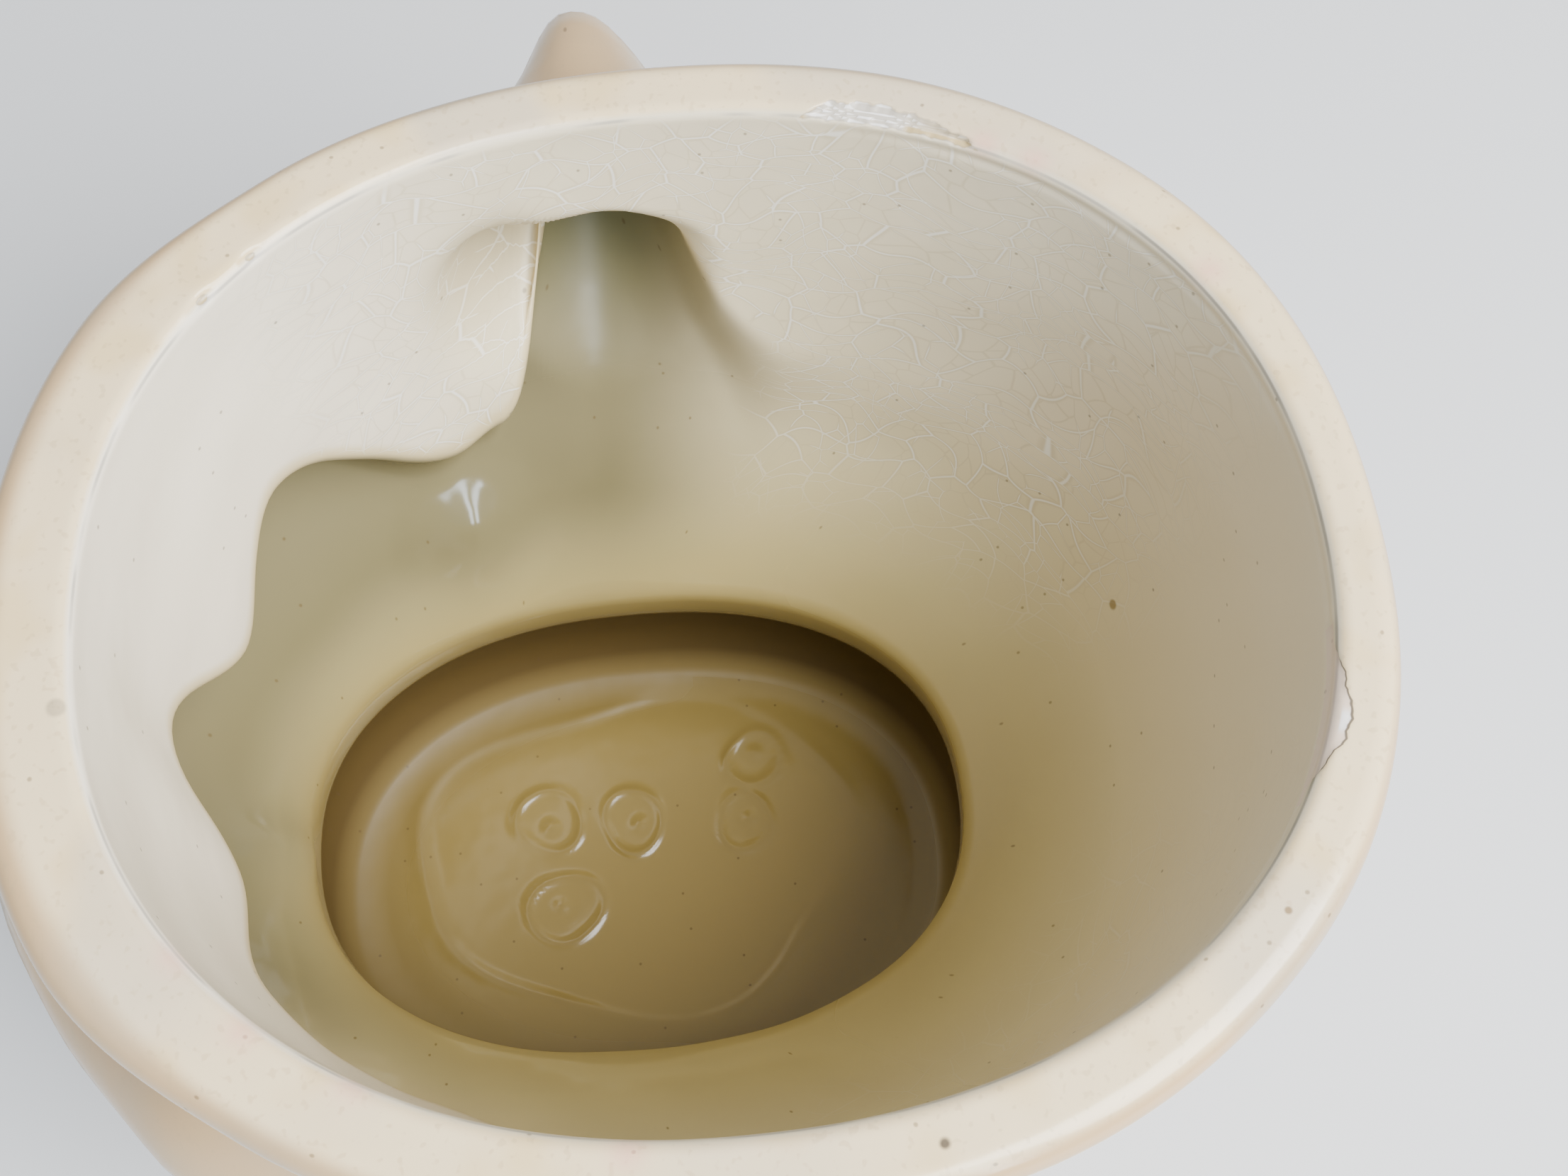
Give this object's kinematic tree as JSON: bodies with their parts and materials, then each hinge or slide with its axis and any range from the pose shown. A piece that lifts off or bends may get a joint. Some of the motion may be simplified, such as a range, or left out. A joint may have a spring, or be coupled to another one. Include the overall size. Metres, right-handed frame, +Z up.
{
  "type": "cookie jar body",
  "caption": "Lidless glazed earthenware cookie jar body with a rounded oval mouth, a bulging front under a wavy seam, hollow side ears and a waisted foot.",
  "frame": {"origin": "middle of the jar's box on the surface that the jar stands on, 2 mm behind the middle of the foot", "axes": "+Z up, front with the wavy seam and full cheeks towards -Y, ears along X"},
  "size_m": [0.2576, 0.2166, 0.176],
  "materials": {
    "cream_glaze": "glossy crazed cream glaze on slip-cast earthenware"
  },
  "bodies": {
    "root": {"jar_body": "cream_glaze"}
  },
  "joints": []
}
